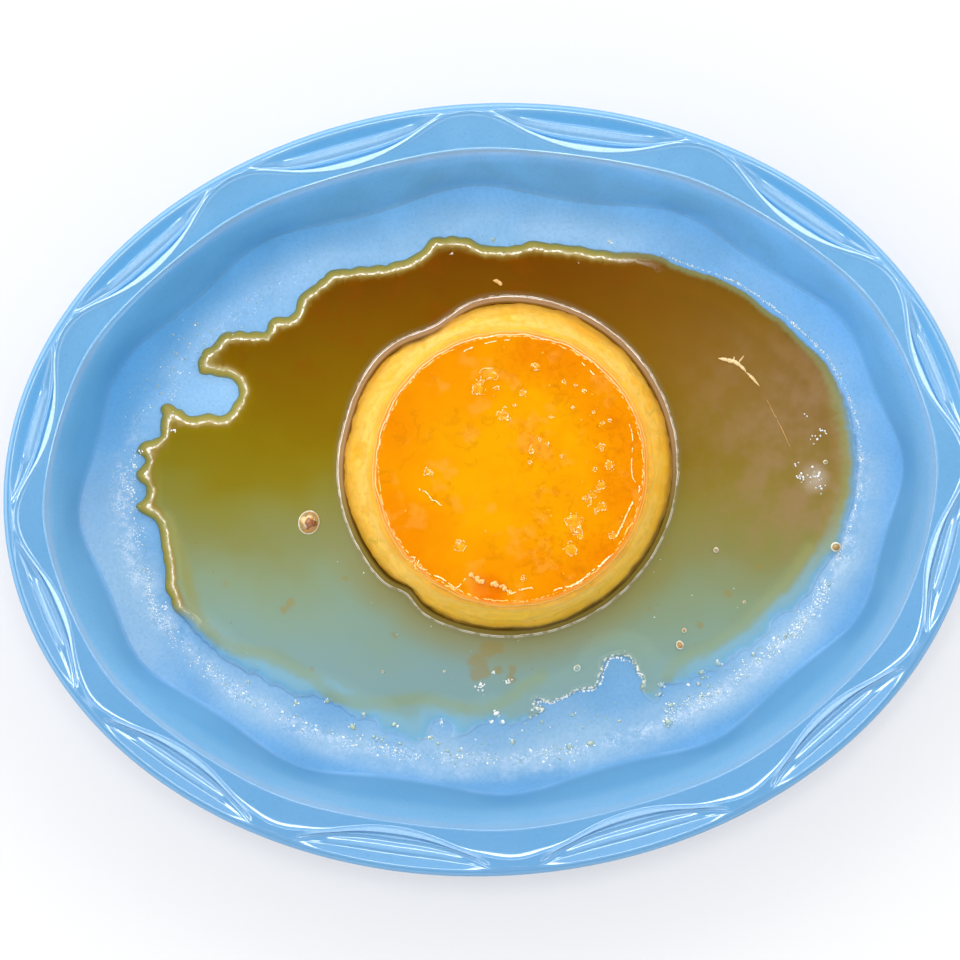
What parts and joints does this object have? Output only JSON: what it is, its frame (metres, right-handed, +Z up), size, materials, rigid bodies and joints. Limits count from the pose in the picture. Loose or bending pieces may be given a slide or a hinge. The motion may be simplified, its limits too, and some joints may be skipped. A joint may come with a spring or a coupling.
{
  "type": "caramel pudding on an oval dish",
  "caption": "Set custard cone with a caramel top, turned out in a pool of caramel sauce on an oval stoneware dish with a leaf-hollowed rim and fluted wall.",
  "frame": {"origin": "under the middle of the dish, on the surface that it stands on", "axes": "+X along the dish's long axis, +Y along its short axis, +Z up"},
  "size_m": [0.24, 0.1902, 0.0393],
  "materials": {
    "blue_glaze": "glossy pale blue glaze on stoneware",
    "set_custard": "smooth moist set custard",
    "amber_caramel": "wet glossy amber caramel",
    "brown_syrup": "clear glossy brown syrup"
  },
  "bodies": {
    "root": {"dish": "blue_glaze", "custard": "set_custard", "caramel_layer": "amber_caramel", "caramel_sauce": "brown_syrup"}
  },
  "joints": []
}
